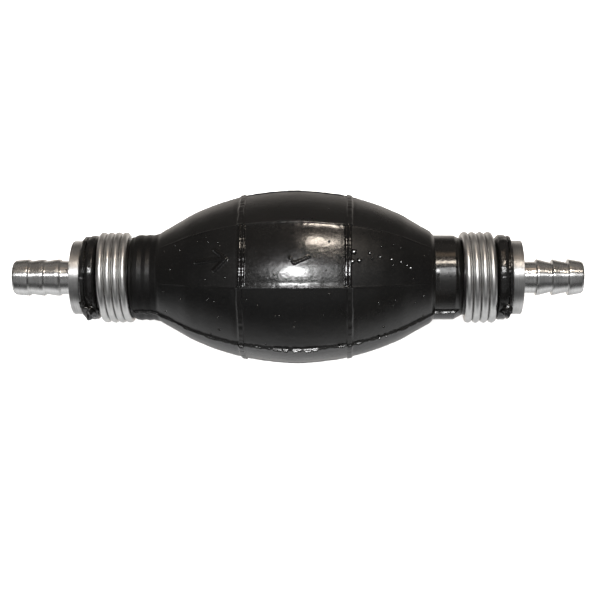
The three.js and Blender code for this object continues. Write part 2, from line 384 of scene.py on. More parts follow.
def rubber_material():
    """Black moulded rubber. The mesh's polish says how closely the mould was polished there."""
    m = Nodes("bulb_rubber")
    polish = m.attribute("polish")
    broad = m.noise(38, 3, 0.55)
    fine = m.noise(1500, 3, 0.6)
    smear = m.noise(110, 4, 0.6, stretch=(0.5, 1, 1))
    grit = m.noise(7000, 1, 0.5)
    colour = m.ramp(
        m.math("ADD", m.math("MULTIPLY", broad, 0.6), m.math("MULTIPLY", fine, 0.4)),
        [(0.30, (0.0009, 0.0009, 0.0010)), (0.55, (0.0016, 0.0015, 0.0014)), (0.75, (0.0034, 0.0030, 0.0025))],
    )
    dull = m.math("ADD", m.remap(smear, 0.3, 0.7, 0.27, 0.38), m.remap(fine, 0.3, 0.7, -0.03, 0.04))
    shiny = m.math("ADD", m.remap(grit, 0.40, 0.60, 0.11, 0.25), m.remap(smear, 0.35, 0.7, -0.02, 0.06))
    rough = m.blend(polish, dull, shiny)
    # slow waves of the moulding, drawn along it, then orange peel and the scattered pips left by pits
    wave = m.bump(m.noise(290, 2, 0.5), 0.00008, 0.7)
    drawn = m.bump(m.noise(640, 2, 0.5, stretch=(0.28, 1, 1)), 0.000024, 0.7, wave)
    peel = m.bump(m.noise(1150, 2, 0.6), 0.000016, 0.7, drawn)
    cell = m.voronoi(300)
    pick = m.add("ShaderNodeSeparateColor")
    m.link(m.voronoi(300, output="Color"), pick.inputs["Color"])
    chosen = m.remap(pick.outputs["Red"], 0.80, 0.90, 0.0, 1.0)
    pip = m.math("MULTIPLY", m.remap(cell, 0.03, 0.11, 1.0, 0.0, "SMOOTHSTEP"), chosen)
    pips = m.bump(pip, 0.00030, 1.0, peel)
    return m.set(
        Base_Color=colour,
        Roughness=rough,
        Specular_IOR_Level=m.remap(polish, -0.7, -0.1, 0.22, 0.5),
        IOR=1.5,
        Normal=pips,
    )


def aluminium_material():
    """Turned aluminium: fine rings about X spread the reflections along the fitting."""
    m = Nodes("fitting_aluminium")
    tangent = m.add("ShaderNodeTangent", direction_type="RADIAL", axis="X")
    rings = m.noise(240, 4, 0.75, stretch=(26, 0.5, 0.5))
    coarse = m.noise(60, 2, 0.5, stretch=(14, 0.6, 0.6))
    stain = m.noise(170, 4, 0.6)
    nick = m.noise(800, 4, 0.7)
    colour = m.ramp(
        m.math("ADD", m.math("MULTIPLY", stain, 0.45), m.math("MULTIPLY", rings, 0.55)),
        [(0.32, (0.36, 0.355, 0.35)), (0.5, (0.58, 0.58, 0.575)), (0.68, (0.74, 0.74, 0.74))],
    )
    # the hose barbs are cut finely, the flange was left satin
    xyz = m.add("ShaderNodeSeparateXYZ")
    m.link(m.coord, xyz.inputs["Vector"])
    flange = m.remap(m.math("ABSOLUTE", xyz.outputs["X"]), 0.0645, 0.0650, 1.0, 0.0)
    base = m.blend(flange, 0.25, 0.46)
    rough = m.math("ADD", base, m.math("ADD", m.remap(stain, 0.3, 0.7, -0.04, 0.06), m.remap(nick, 0.3, 0.75, -0.02, 0.05)))
    n1 = m.bump(rings, 0.000014, 0.8)
    n2 = m.bump(coarse, 0.000016, 0.5, n1)
    n3 = m.bump(nick, 0.000005, 0.6, n2)
    m.link(tangent.outputs["Tangent"], m.b.inputs["Tangent"])
    return m.set(
        Base_Color=colour, Metallic=1.0, Roughness=rough, Anisotropic=0.85, Anisotropic_Rotation=0.25, Normal=n3
    )


def wire_material(name, low, high, rough0, rough1):
    m = Nodes(name)
    streak = m.noise(700, 3, 0.6, stretch=(3.0, 1, 1))
    patch = m.noise(210, 4, 0.6)
    colour = m.ramp(patch, [(0.3, low), (0.7, high)])
    rough = m.math("ADD", m.remap(patch, 0.3, 0.7, rough0, rough1), m.remap(streak, 0.3, 0.7, -0.03, 0.05))
    n1 = m.bump(streak, 0.000026, 0.8)
    n2 = m.bump(m.noise(2200, 3, 0.6), 0.000008, 0.6, n1)
    return m.set(Base_Color=colour, Metallic=1.0, Roughness=rough, Normal=n2)


def acetal_material():
    m = Nodes("valve_acetal")
    broad = m.noise(150, 3, 0.5)
    fine = m.noise(2200, 3, 0.6)
    colour = m.ramp(broad, [(0.3, (0.70, 0.67, 0.58)), (0.7, (0.80, 0.78, 0.71))])
    return m.set(
        Base_Color=colour,
        Roughness=m.remap(fine, 0.3, 0.7, 0.36, 0.5),
        Subsurface_Weight=0.08,
        Subsurface_Radius=(0.002, 0.0016, 0.0012),
        Subsurface_Scale=0.6,
        Normal=m.bump(fine, 0.000010, 0.5),
    )


def nitrile_material():
    m = Nodes("seal_nitrile")
    broad = m.noise(300, 3, 0.5)
    fine = m.noise(2600, 4, 0.6)
    return m.set(
        Base_Color=m.ramp(broad, [(0.3, (0.008, 0.008, 0.009)), (0.7, (0.018, 0.018, 0.019))]),
        Roughness=m.remap(fine, 0.3, 0.7, 0.48, 0.62),
        Normal=m.bump(fine, 0.000014, 0.6),
    )


RUBBER = rubber_material()
ALUMINIUM = aluminium_material()
WIRE = wire_material("clamp_wire", (0.50, 0.50, 0.495), (0.72, 0.72, 0.71), 0.30, 0.42)
SPRING = wire_material("spring_steel", (0.50, 0.51, 0.52), (0.70, 0.71, 0.72), 0.14, 0.22)
ACETAL = acetal_material()
NITRILE = nitrile_material()


def place(ob, body, slot, *nodes):
    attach(ob, body)
    if nodes:
        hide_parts(*nodes)
    return ob


# ------------------------------------------------------------------ bulb
# The angle a runs round the pump from -Y towards +Z. Eight panels, corners at 22.5 + 45 k degrees.

PROFILE = pchip(
    [0, 3, 6, 9, 12, 13.5, 15.6, 18.5, 21.35, 24.2, 27.1, 30, 32.9, 35.7, 38.6],
    [25.0, 24.9, 24.65, 24.3, 23.9, 23.65, 23.2, 22.4, 21.5, 20.5, 19.25, 17.9, 16.2, 14.6, 13.0],
)
NECK_END = 60.95
RIBS = (-14.35, 14.75)
RIB_HALF, RIB_HEIGHT = 0.85, 0.46
SEAM = 112.5
FLASH = 3.2  # how far below the panel corners the parting line runs, in degrees


def lie(a):
    """Where a nominal angle lies on the part: the two corners on the parting line sit a little low."""
    a = np.asarray(a, float)
    out = a.copy()
    for c in (22.5, 202.5):
        d = (a - c + 180) % 360 - 180
        out = out - FLASH * np.where(np.abs(d) < 45, np.cos(np.radians(d * 2)) ** 2, 0)
    return out




def half_path(side):
    """The outside of one half as (x, r), x from the belly outwards: side is -1 for the inlet and 1 for the outlet."""
    steps = [np.arange(0, 38.61, 0.46)]
    for c, w, s in ((abs(RIBS[0 if side < 0 else 1]), 1.2, 0.13),):
        steps.append(np.arange(c - w, c + w, s))
    if side < 0:
        steps.append(np.arange(16.0, 29.0, 0.24))
        steps.append(np.arange(0, 8.0, 0.2))
    else:
        steps.append(np.arange(15.8, 34.5, 0.28))
        steps.append(np.arange(0, 8.0, 0.2))
    x = np.unique(np.round(np.concatenate(steps), 3))
    keep = [x[0]]
    for v in x[1:]:
        if v - keep[-1] > 0.11:
            keep.append(v)
    x = np.array(keep)
    belly = [(v, float(PROFILE(v))) for v in x if v < 38.2]
    if side < 0:
        neck = [
            (38.9, 12.75, 2.0), (40.9, 12.20, 0.8), (42.1, 12.36, 0.4), (43.3, 12.16, 0.4), (44.5, 12.34, 0.35), (45.6, 12.14, 0.35), (46.3, 11.7, 0.25),
        ]
        bead = [
            (46.95, 11.6, 0.2), (47.15, 10.75, 0.25), (56.30, 10.75, 0.25), (56.50, 11.4, 0.3), (57.2, 12.08, 0.6),
            (58.35, 12.12, 0.6), (59.12, 11.9, 0.2), (59.24, 11.3, 0.06), (59.44, 11.3, 0.06), (59.56, 11.85, 0.12),
            (60.5, 11.8, 0.2), (NECK_END, 11.3, 0.1),
        ]
    else:
        neck = [
            (39.2, 12.1, 0.18), (44.9, 12.06, 0.12), (46.9, 10.95, 0.18),
        ]
        bead = [
            (47.2, 10.75, 0.2), (56.60, 10.75, 0.25), (56.78, 11.4, 0.3), (57.4, 12.12, 0.6), (58.75, 12.16, 0.6),
            (59.62, 11.95, 0.2), (59.76, 11.35, 0.06), (59.96, 11.35, 0.06), (60.08, 11.95, 0.1), (60.72, 11.85, 0.15),
            (NECK_END, 11.45, 0.08),
        ]
    pts = [(belly[-1][0], belly[-1][1], 0)] + neck + bead
    tail = fillet(pts, closed=False, steps=5)
    out = list(belly)
    for p in tail[1:]:
        last = np.array(out[-1])
        d = p - last
        dist = float(np.hypot(*d))
        if dist < 0.03:
            continue
        k = max(1, int(math.ceil(dist / 0.42)))
        for j in range(1, k + 1):
            out.append(tuple(last + d * j / k))
    return np.array(out)


def around():
    """Angles round the bulb in degrees from SEAM to SEAM + 360, finer at the panels' corners and on the marked panel."""
    near = [0.0, 0.28, 0.56, 0.84, 1.15, 1.5, 1.95, 2.6, 3.4]
    ang = []
    for k in range(8):
        c = SEAM + 45 * k
        step = 0.62 if k == 7 else 1.0
        inner = np.linspace(3.4, 41.6, int(round(38.2 / step)) + 1)
        ang += [c + v for v in near[:-1]] + [c + v for v in inner] + [c + 45 - v for v in reversed(near[1:-1])]
    return np.array(ang + [SEAM + 360.0])


def panel_factor(x, a):
    """Radius over the round profile: eight crowned panels on the belly, round at the necks."""
    near = on_marked(a)
    k = 1 - 0.45 * smoothstep(14.6 - 0.6 * near, 17.5 - 2.1 * near, np.abs(x)) - 0.55 * smoothstep(17.5, 38.5, np.abs(x))
    half = math.radians(22.5)
    rc = 1 - 0.008 * k
    rm = 1 - 0.040 * k
    f = np.radians((a - 90.0 + 22.5) % 45.0 - 22.5)
    ca, sa = rc * math.cos(half), rc * math.sin(half)
    s = np.maximum(rm - ca, 1e-6)
    big = (sa * sa + s * s) / (2 * s)
    c = rm - big
    r = c * np.cos(f) + np.sqrt(np.maximum(big * big - c * c * np.sin(f) ** 2, 0))
    return r


rib_wander = [noise1(21 + i, 7.0) for i in range(4)]
edge_rough = noise1(5, 0.62)
edge_rough2 = noise1(6, 2.3)
edge_low = noise1(7, 9.0)
tooth = noise1(8, 0.85)
ridge_rough = [noise1(30 + i, 1.3) for i in range(8)]
swell = noise2(11, 8.5, 24.0)
swell2 = noise2(12, 3.6, 9.0)


def strokes(u, v, lines, half, soft):
    """Raised strokes: 1 on a line's crest, 0 past its edge."""
    best = np.full(u.shape, 1e9)
    for (x0, y0), (x1, y1) in lines:
        dx, dy = x1 - x0, y1 - y0
        t = np.clip(((u - x0) * dx + (v - y0) * dy) / max(dx * dx + dy * dy, 1e-12), 0, 1)
        best = np.minimum(best, np.hypot(u - x0 - t * dx, v - y0 - t * dy))
    return 1 - smoothstep(half - soft, half + soft, best)


FLOW_ARROW = [
    ((-27.2, -1.0), (-18.9, -1.0)),
    ((-21.9, 2.0), (-18.7, -1.0)),
    ((-21.9, -4.0), (-18.7, -1.0)),
]
CHEVRON = [((-0.9, -1.2), (0.1, -2.9)), ((0.1, -2.9), (4.2, -1.0))]
bead_noise = noise2(41, 1.5, 7.0)
bead_noise2 = noise2(42, 0.7, 3.0)


def on_marked(a):
    """1 on the panel that carries the marks, 0 on the others."""
    return 1 - smoothstep(21.2, 23.0, np.abs((a - 90 + 180) % 360 - 180))


def relief(x, a, r0):
    """Everything that stands up from the plain panels, in mm; a is the nominal angle."""
    ax = np.abs(x)
    h = np.zeros(np.broadcast(x, a).shape)
    on_belly = 1 - smoothstep(36.0, 39.5, ax)
    marked = on_marked(a)
    # slow unevenness of a moulding
    h += (0.035 * swell(x, a) + 0.014 * swell2(x, a)) * (1 - smoothstep(44.5, 46, ax))
    # the end beads are lumpy
    h += (0.10 * bead_noise(x, a) + 0.04 * bead_noise2(x, a)) * smoothstep(56.4, 57.2, ax)
    # hoop ribs: doubled and beaded across the marked panel
    for i, c in enumerate(RIBS):
        side = 1 if c > 0 else -1
        shift = 0.10 * rib_wander[2 * i](a) + side * 0.55 * (1 - marked)
        d = x - c - shift
        height = RIB_HEIGHT * (1 + 0.16 * (1 - 0.85 * marked) * rib_wander[2 * i + 1](a * 6.0))
        level = np.clip(float(PROFILE(abs(c))) * panel_factor(c, a) - r0 * panel_factor(x, a), -0.5, 0.5)
        height = height + marked * (level + 0.030 * edge_rough(a * 0.25 + 7 * i) + 0.006 * edge_rough(a * 0.8 + 3 * i))
        edge = 0.30 - 0.15 * marked
        h += height * (1 - smoothstep(RIB_HALF - edge, RIB_HALF + 0.08, np.abs(d)))
        h -= 0.22 * marked * np.exp(-((d / 0.17) ** 2))
    # panel corners: a fine raised line on each
    for k in range(8):
        c = 22.5 + 45 * k
        d = ((a - c + 180) % 360 - 180) * math.pi / 180 * r0
        if k in (0, 4):
            continue
        between = 1 - smoothstep(13.2, 15.2, ax)
        tall = (0.09 + 0.13 * between) * (1 + 0.30 * ridge_rough[k](x))
        if k in (1, 2):
            tall = tall * (1 - (0.85 if k == 1 else 0.6) * between)
        h += tall * on_belly * np.exp(-((d / (0.30 + 0.06 * between)) ** 2))
        # the marked panel rolls up into its two long borders
        if k in (1, 2):
            inward = d if k == 1 else -d
            if k == 1:
                lift, jag, roll = 0.15, 0.025, np.clip(1 - np.maximum(inward, 0) / 1.25, 0, 1)
            else:
                lift, jag, roll = 0.17, 0.05, np.exp(-((np.maximum(inward, 0) / 1.05) ** 2))
            roll = roll * smoothstep(-0.35, 0.0, inward)
            h += (lift + jag * ridge_rough[k](x * 1.4 + 9)) * between * roll
    # the mould's parting line: a rough raised flash on opposite corners, neck to neck, with a nip above it
    for k, c in ((0, 22.5), (4, 202.5)):
        d = ((a - c + 180) % 360 - 180) * math.pi / 180 * r0
        jag = edge_rough(x + 40 * k) * 0.5 + edge_rough2(x + 13 * k) * 0.5
        low = edge_low(x + 31 * k)
        middle = np.exp(-(((x - 1.0) / 7.0) ** 4))
        necks = smoothstep(37.0, 40.0, ax)
        teeth = smoothstep(0.05, 0.4, tooth(1.35 * x + 17 * k)) * middle
        tall = np.clip(0.36 + 0.30 * jag * (1 - 0.6 * middle) + 0.10 * low + 0.58 * middle - 0.50 * teeth + 0.2 * necks, 0.08, 1.05)
        d = d - 0.10 * edge_rough2(x + 77 + 9 * k)
        past = 1 - smoothstep(45.2, 46.4, ax)
        wall = np.minimum(np.clip((0.66 - d) * 2.3, 0, None), tall) * (1 - smoothstep(0.12, 0.42, -d))
        h += past * wall
        h -= 0.17 * past * np.exp(-(((d - 1.0) / 0.32) ** 2))
    # raised marks on the upper panel
    v = ((a - 90 + 180) % 360 - 180) * math.pi / 180 * r0
    top = (np.abs(v) < 9)
    h += 0.50 * strokes(x, v, FLOW_ARROW, 0.48, 0.17) * top
    h += 0.30 * strokes(x, v, CHEVRON, 0.30, 0.12) * top
    return h


def polish_of(x, a):
    """The marked panel and the outlet neck came from polished parts of the mould."""
    ax = np.abs(x)
    panel = on_marked(a) * (1 - smoothstep(15.3, 15.9, ax))
    v = ((a - 90 + 180) % 360 - 180) * math.pi / 180 * PROFILE(ax)
    panel = np.maximum(panel, 0.8 * strokes(x, v, FLOW_ARROW, 0.75, 0.2) * (np.abs(v) < 9))
    neck = 1.0 * smoothstep(38.8, 39.6, x) * (1 - smoothstep(46.5, 47.5, x))
    bead = 0.9 * smoothstep(56, 57, ax)
    corners = 0.8 * np.exp(-((((a - 22.5) % 180 + 90) % 180 - 90) / 2.2) ** 2)
    shine = np.clip(np.maximum(np.maximum(panel, neck), np.maximum(bead, corners)), 0, 1) * (1 + 0.7 * corners)
    # the inlet neck, and a patch under the shine of the outlet neck, are worn duller
    turn = a % 360
    patch = smoothstep(40.0, 40.6, x) * (1 - smoothstep(44.9, 45.5, x)) * smoothstep(56, 60, turn) * (1 - smoothstep(86, 88, turn))
    inlet = smoothstep(38.8, 39.6, -x) * (1 - smoothstep(46.5, 47.5, -x))
    ribs = on_marked(a) * sum(1 - smoothstep(0.7, 1.0, np.abs(x - c)) for c in RIBS)
    return shine * (1 + 0.7 * ribs) - 1.15 * patch - 0.75 * inlet


INNER = pchip(
    [0, 6, 14.5, 21.5, 28.6, 34.5, 38.0, 40.4, 41.2, 60.95],
    [21.85, 21.6, 20.1, 17.9, 14.9, 11.4, 9.4, 8.76, 8.7, 8.7],
)


def build_bulb():
    left, right = half_path(-1), half_path(1)
    path = np.concatenate([np.stack([-left[::-1, 0], left[::-1, 1]], 1), right[1:]])
    ang = around()
    x, a = np.meshgrid(path[:, 0], ang, indexing="ij")
    r0 = np.repeat(path[:, 1][:, None], len(ang), 1)
    r = r0 * panel_factor(x, a) + relief(x, a, r0)
    rad = np.radians(lie(a))
    pos = np.stack([x, -r * np.cos(rad), r * np.sin(rad)], -1) * MM
    shine = polish_of(x, a)
    # normals of the whole skin, so that the two halves shade as one
    dx = np.gradient(pos, axis=0)
    da = np.empty_like(pos)
    da[:, 1:-1] = pos[:, 2:] - pos[:, :-2]
    da[:, 0] = da[:, -1] = pos[:, 1] - pos[:, -2]
    nrm = np.cross(dx, da)
    nrm /= np.maximum(np.linalg.norm(nrm, axis=2), 1e-20)[..., None]
    if np.sum(nrm[..., 1:] * pos[..., 1:]) < 0:
        nrm = -nrm

    rows = list(range(0, len(path), 6))
    if rows[-1] != len(path) - 1:
        rows.append(len(path) - 1)
    made = []
    split = int(np.argmin(np.abs(ang - (SEAM + 180))))
    for name, j0, j1 in (("bulb_skin_rear", 0, split), ("bulb_skin_front", split, len(ang) - 1)):
        cols = list(range(j0, j1, 5))
        if j1 - cols[-1] < 3:
            cols.pop()
        cols.append(j1)
        n_i, n_j = len(path), j1 - j0 + 1
        outer = pos[:, j0 : j1 + 1].reshape(-1, 3)
        xi = path[rows, 0]
        ai = ang[cols]
        gx, ga = np.meshgrid(xi, ai, indexing="ij")
        ri = INNER(np.abs(gx)) * panel_factor(gx, ga)
        ri = np.where(np.abs(gx) > 40, 8.7, ri)
        ga = np.radians(lie(ga))
        inner = np.stack([gx, -ri * np.cos(ga), ri * np.sin(ga)], -1).reshape(-1, 3) * MM
        verts = np.concatenate([outer, inner])
        base, m_j = len(outer), len(cols)
        O = lambda i, j: i * n_j + (j - j0)
        I = lambda p, q: base + p * m_j + q
        faces = []
        for i in range(n_i - 1):
            b0, b1 = i * n_j, (i + 1) * n_j
            faces += [(b0 + j, b0 + j + 1, b1 + j + 1, b1 + j) for j in range(n_j - 1)]
        n_outer = len(faces)
        for p in range(len(rows) - 1):
            for q in range(m_j - 1):
                faces.append((I(p, q), I(p + 1, q), I(p + 1, q + 1), I(p, q + 1)))
        for q in range(m_j - 1):
            arc = list(range(cols[q], cols[q + 1] + 1))
            faces.append(tuple([O(0, j) for j in reversed(arc)] + [I(0, q), I(0, q + 1)]))
            faces.append(tuple([O(n_i - 1, j) for j in arc] + [I(len(rows) - 1, q + 1), I(len(rows) - 1, q)]))
        for p in range(len(rows) - 1):
            arc = list(range(rows[p], rows[p + 1] + 1))
            faces.append(tuple([O(i, j0) for i in arc] + [I(p + 1, 0), I(p, 0)]))
            faces.append(tuple([O(i, j1) for i in reversed(arc)] + [I(p, m_j - 1), I(p + 1, m_j - 1)]))
        me = bpy.data.meshes.new(name)
        # which way the outer faces look
        f = faces[n_outer // 2]
        flat = np.cross(verts[f[1]] - verts[f[0]], verts[f[2]] - verts[f[0]])
        mid = verts[list(f)].mean(0)
        if flat @ np.array([0, mid[1], mid[2]]) < 0:
            faces = [tuple(reversed(g)) for g in faces]
        me.from_pydata([tuple(p) for p in verts], [], faces)
        me.update()
        me.materials.append(RUBBER)
        me.polygons.foreach_set("use_smooth", [True] * len(me.polygons))
        vn = np.zeros((len(verts), 3))
        vn[:base] = nrm[:, j0 : j1 + 1].reshape(-1, 3)
        loop_vert = np.empty(len(me.loops), int)
        me.loops.foreach_get("vertex_index", loop_vert)
        starts = np.empty(len(me.polygons), int)
        me.polygons.foreach_get("loop_start", starts)
        loops_outer = int(starts[n_outer])
        ln = np.zeros((len(me.loops), 3))
        ln[:loops_outer] = vn[loop_vert[:loops_outer]]
        totals = np.empty(len(me.polygons), int)
        me.polygons.foreach_get("loop_total", totals)
        fn = np.array([p.normal for p in me.polygons[n_outer:]]) if n_outer < len(me.polygons) else np.zeros((0, 3))
        ln[loops_outer:] = np.repeat(fn, totals[n_outer:], axis=0)
        me.normals_split_custom_set([tuple(v) for v in ln])
        gloss = np.zeros(len(verts), np.float32)
        gloss[:base] = shine[:, j0 : j1 + 1].reshape(-1)
        me.attributes.new("polish", "FLOAT", "POINT").data.foreach_set("value", gloss)
        ob = bpy.data.objects.new(name, me)
        bpy.context.scene.collection.objects.link(ob)
        made.append(ob)
    rear, front = made
    for ob, wall, sign, nodes in (
        (front, "wall_front", -1, ("bulb_body", "bulb_wall_front")),
        (rear, "wall_rear", 1, ("bulb_wall_rear",)),
    ):
        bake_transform(ob)
        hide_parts(*nodes)
    return front, rear


build_bulb()


def flash_lump(name, x, angle, radius, size, ragged, seed):
    """A torn lump of flash on an end bead: size is its half-extents along X, round the bead and outwards."""
    rings, segs = 22, 32
    verts = []
    for i in range(1, rings):
        t = math.pi * i / rings
        for j in range(segs):
            p = 2 * math.pi * j / segs
            d = Vector((math.sin(t) * math.cos(p), math.sin(t) * math.sin(p), math.cos(t)))
            w = 1 + ragged * (noise.noise(d * 1.6 + Vector((seed, 0, 0))) + 0.5 * noise.noise(d * 4.1 + Vector((0, seed, 0))))
            verts.append(d * w)
    verts = [Vector((0, 0, 1))] + verts + [Vector((0, 0, -1))]
    t = math.radians(angle)
    out, round_ = Vector((0, -math.cos(t), math.sin(t))), Vector((0, math.sin(t), math.cos(t)))
    centre = Vector((x, 0, 0)) + out * radius
    placed = [(centre + Vector((v.x * size[0], 0, 0)) + round_ * (v.y * size[1]) + out * (v.z * size[2])) * MM for v in verts]
    n = len(placed) - 1
    faces = []
    for j in range(segs):
        k = (j + 1) % segs
        faces.append((0, 1 + j, 1 + k))
        faces.append((n, n - segs + k, n - segs + j))
        for i in range(rings - 2):
            a, b = 1 + i * segs, 1 + (i + 1) * segs
            faces.append((a + j, b + j, b + k, a + k))
    ob = new_mesh(name, placed, facing_out([tuple(v) for v in placed], faces), RUBBER)
    gloss = np.full(len(placed), 1.4, np.float32)
    ob.data.attributes.new("polish", "FLOAT", "POINT").data.foreach_set("value", gloss)
    return place(ob, "pump_body", "bulb_rubber")


flash_lump("inlet_flash_lump", -58.3, 21.0, 11.8, (2.0, 2.6, 1.5), 0.75, 3.0)
flash_lump("inlet_flash_tag", -59.9, 33.0, 11.8, (0.8, 1.8, 1.0), 0.8, 7.0)
flash_lump("outlet_flash_lump", 59.3, 24.0, 12.2, (1.6, 1.9, 1.6), 0.45, 11.0)


def mould_pips():
    """Small domes left by pits in the mould: flat-topped ones by the marks, the rest strewn over the front half."""
    rng = np.random.RandomState(8)
    spots = [
        (16.35, 92.2, 0.85, 1), (15.95, 85.2, 0.78, 1), (17.8, 86.1, 0.76, 1), (20.7, 92.4, 0.46, 1), (26.7, 89.0, 0.50, 1),
        (29.3, 87.6, 0.46, 1), (32.0, 83.2, 0.52, 1), (23.5, 90.2, 0.36, 1), (31.0, 85.2, 0.36, 1),
        (12.4, 24.0, 0.42, 2), (13.5, 23.6, 0.34, 2), (23.6, 23.8, 0.42, 2), (25.4, 23.4, 0.34, 2),
    ]
    while len(spots) < 80:
        x, a = rng.uniform(-37, 37), rng.uniform(26, 150)
        if min(abs(abs(x) - 14.5), 9) < 1.3 or min(abs((a - c)) for c in (22.5, 67.5, 112.5)) < 3.2:
            continue
        if -28.5 < x < -17.5 and 76 < a < 98 or -3 < x < 5.5 and 72 < a < 92:
            continue
        spots.append((x, a, rng.uniform(0.20, 0.40), 0))
    verts, faces, gloss = [], [], []
    for x, a, r, kind in spots:
        if a > 112.5:
            continue
        rings, segs = (16, 20) if kind else (8, 14)
        r0 = float(PROFILE(abs(x)))
        slope = (float(PROFILE(abs(x) + 0.3)) - float(PROFILE(max(abs(x) - 0.3, 0)))) / 0.6 * (1 if x > 0 else -1)
        t = math.radians(float(lie(a)))
        out, round_ = Vector((0, -math.cos(t), math.sin(t))), Vector((0, math.sin(t), math.cos(t)))
        skin = r0 * float(panel_factor(np.float64(x), np.float64(a)))
        if kind:
            # the flat tops lie square to the draw of the mould's insert
            lean = math.radians(83.35 - 0.0859 * skin * math.sin(t - math.radians(75.2)))
            tip = math.radians(-1.25 - 0.0859 * x)
            up = Vector((math.sin(tip), -math.cos(lean) * math.cos(tip), math.sin(lean) * math.cos(tip)))
        else:
            draw = Vector((0, -math.cos(math.radians(84)), math.sin(math.radians(84))))
            up = ((out - Vector((slope, 0, 0))).normalized() * 0.25 + draw).normalized()
        along = up.cross(round_).normalized()
        round_ = along.cross(up).normalized()
        centre = Vector((x, 0, 0)) + out * (skin + (0.02, 0.05, 0.40)[kind])
        start = len(verts)
        ring = [Vector((0, 0, 1))]
        for i in range(1, rings):
            q = math.pi * i / rings
            ring += [
                Vector((math.sin(q) * math.cos(2 * math.pi * j / segs), math.sin(q) * math.sin(2 * math.pi * j / segs), math.cos(q)))
                for j in range(segs)
            ]
        ring.append(Vector((0, 0, -1)))
        for v in ring:
            if kind:
                w, z = r, math.copysign(1 - math.hypot(v.x, v.y) ** 4, v.z) * 0.5
            else:
                w, z = r * (1 + 0.16 * noise.noise(v * 1.3 + Vector((x, a, 0)))), v.z * 0.55
            verts.append(tuple((centre + along * (v.x * w) + round_ * (v.y * w) + up * (z * w)) * MM))
            gloss.append(2.0 if kind else 1.0)
        last = start + len(ring) - 1
        own = []
        for j in range(segs):
            k = (j + 1) % segs
            own.append((start, start + 1 + j, start + 1 + k))
            own.append((last, last - segs + k, last - segs + j))
            for i in range(rings - 2):
                p, q = start + 1 + i * segs, start + 1 + (i + 1) * segs
                own.append((p + j, q + j, q + k, p + k))
        local = facing_out(verts[start:], [tuple(n - start for n in f) for f in own])
        faces += [tuple(n + start for n in f) for f in local]
    ob = new_mesh("bulb_mould_pips", verts, faces, RUBBER)
    ob.data.attributes.new("polish", "FLOAT", "POINT").data.foreach_set("value", np.array(gloss, np.float32))
    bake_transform(ob)
    return ob


mould_pips()

# ------------------------------------------------------------------ hose fittings


def fitting_profile(barbs, root, face):
    return [
        (41.8, 7.2, 0.08), (42.7, 7.2, 0.05), (42.7, 7.6, 0.05), (43.9, 7.6, 0.05), (43.9, 7.2, 0.05),
        (58.2, 7.2, 0.12), (58.2, 3.3, 0.2), (barbs[-1][0], 3.3, 0.14),
        *reversed(barbs),
        (face, root, 0.22), (face, 10.55, 0.24), (61.1, 10.55, 0.22),
        (61.1, 8.1, 0.1), (55.6, 8.1, 0.05), (55.4, 8.42, 0.06), (52.8, 8.1, 0.2), (49.6, 8.1, 0.05), (49.4, 8.42, 0.06),
        (46.8, 8.1, 0.2), (42.3, 8.1, 0.1), (41.8, 7.8, 0.1),
    ]


OUTLET_BARBS = [
    (68.2, 4.50, 0.10), (68.45, 5.24, 0.12), (69.0, 5.20, 0.2), (72.7, 4.22, 0.25), (72.95, 5.20, 0.12), (73.5, 5.12, 0.2),
    (77.25, 4.28, 0.25), (77.5, 5.26, 0.12), (78.1, 5.20, 0.2), (81.2, 4.66, 0.3), (81.8, 4.3, 0.2),
]
INLET_BARBS = [
    (67.4, 4.82, 0.3), (68.1, 5.32, 0.25), (68.9, 5.30, 0.5), (72.0, 4.82, 0.4), (72.6, 5.32, 0.25), (73.4, 5.30, 0.5),
    (76.4, 4.84, 0.4), (77.0, 5.32, 0.25), (77.8, 5.30, 0.5), (80.9, 5.0, 0.4), (81.5, 4.5, 0.3),
]
out_prof = fillet(fitting_profile(OUTLET_BARBS, 4.5, 64.2))
in_prof = fillet(fitting_profile(INLET_BARBS, 4.82, 64.0))
place(lathe("outlet_barbed_fitting", out_prof, ALUMINIUM, 160), "pump_body", "fitting_aluminium", "outlet_fitting")
in_prof[:, 0] *= -1
place(lathe("inlet_barbed_fitting", in_prof, ALUMINIUM, 160), "pump_body", "fitting_aluminium", "inlet_fitting")

# ------------------------------------------------------------------ wire clamps

TURNS = 3.6
middle = math.radians(106.1 + 180)
for end, cx, PITCH, WIRE_R, MEAN_R in (("inlet", -51.6, 2.15, 1.062, 11.97), ("outlet", 51.9, 2.25, 1.112, 11.95)):
    wob = noise1(50 if end == "inlet" else 51, 1.7)
    wob2 = noise1(52 if end == "inlet" else 53, 2.1)
    half = TURNS * PITCH / 2
    coil = wound(
        end + "_wire_clamp", cx - half, cx + half, MEAN_R, TURNS, middle - math.pi * TURNS, WIRE_R, WIRE,
        per_turn=110, sides=28, radial=lambda q: 0.05 * wob(q), axial=lambda q: 0.010 * wob2(q),
    )
    place(coil, "pump_body", "clamp_wire", end + "_clamp_coil")

# ------------------------------------------------------------------ check-valve cartridges

